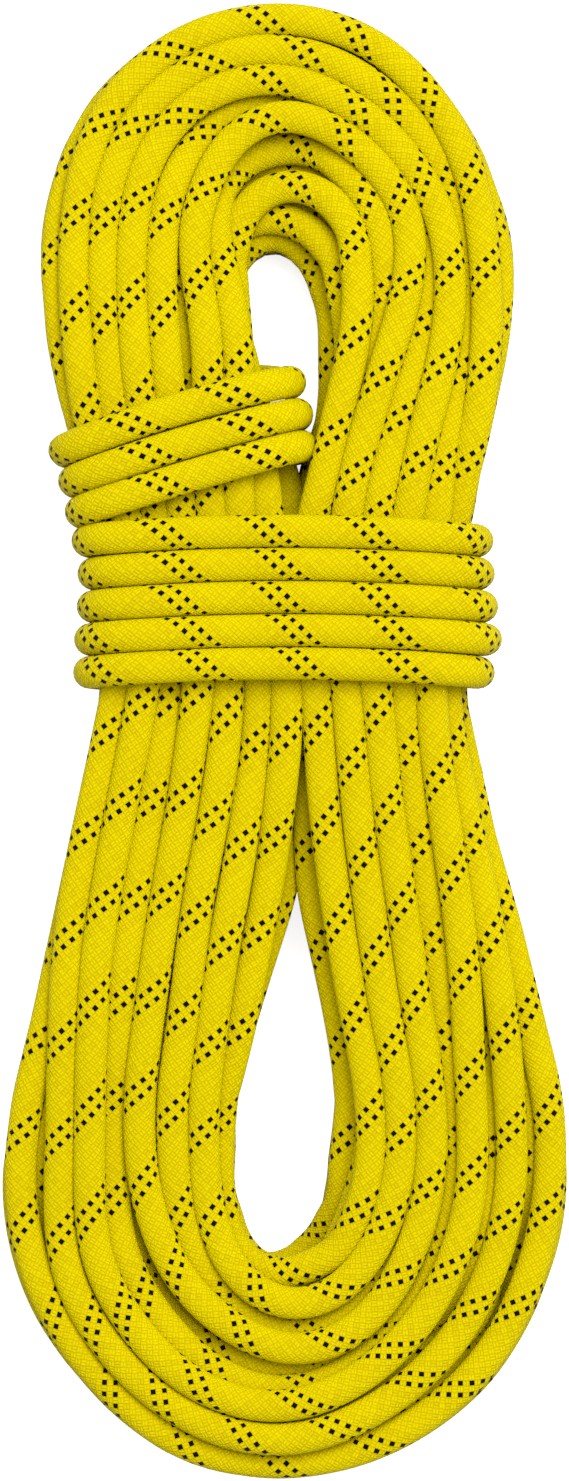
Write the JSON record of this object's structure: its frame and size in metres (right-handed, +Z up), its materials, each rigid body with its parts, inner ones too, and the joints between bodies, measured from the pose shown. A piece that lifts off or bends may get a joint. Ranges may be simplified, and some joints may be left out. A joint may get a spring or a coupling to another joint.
{
  "type": "dynamic climbing rope",
  "caption": "Kernmantle dynamic climbing rope with a checkered tracer, coiled as a long hank with an open eye at each end and wraps round its waist and left limb.",
  "frame": {"origin": "middle of the hank's plan, on the surface that it lies on", "axes": "+Y along the hank to the upper eye, +X to the viewer's right, +Z up out of the hank's front"},
  "size_m": [0.1736, 0.455, 0.0799],
  "materials": {
    "braided_sheath": "braided polyamide, satin",
    "core_strands": "twisted polyamide, satin",
    "marker_tape": "flat woven tape, matt",
    "end_sleeve": "shrunk polyolefin, semi-matt",
    "fused_tip": "melted polyamide, semi-gloss"
  },
  "bodies": {
    "root": {"upper_loop_laps": "braided_sheath", "left_waist_laps": "braided_sheath", "right_waist_laps": "braided_sheath", "lower_loop_laps": "braided_sheath", "waist_wrap_1": "braided_sheath", "waist_wrap_2": "braided_sheath", "waist_wrap_3": "braided_sheath", "waist_wrap_4": "braided_sheath", "waist_wrap_5": "braided_sheath", "limb_wrap_1": "braided_sheath", "limb_wrap_2": "braided_sheath", "limb_wrap_3": "braided_sheath", "start_run": "braided_sheath", "lead_in": "braided_sheath", "crossover": "braided_sheath", "finish_run": "braided_sheath", "start_sheath": "braided_sheath", "finish_sheath": "braided_sheath", "start_core": "core_strands", "start_marker_tape": "marker_tape", "start_sleeve": "end_sleeve", "start_tip": "fused_tip", "finish_core": "core_strands", "finish_marker_tape": "marker_tape", "finish_sleeve": "end_sleeve", "finish_tip": "fused_tip"}
  },
  "joints": []
}
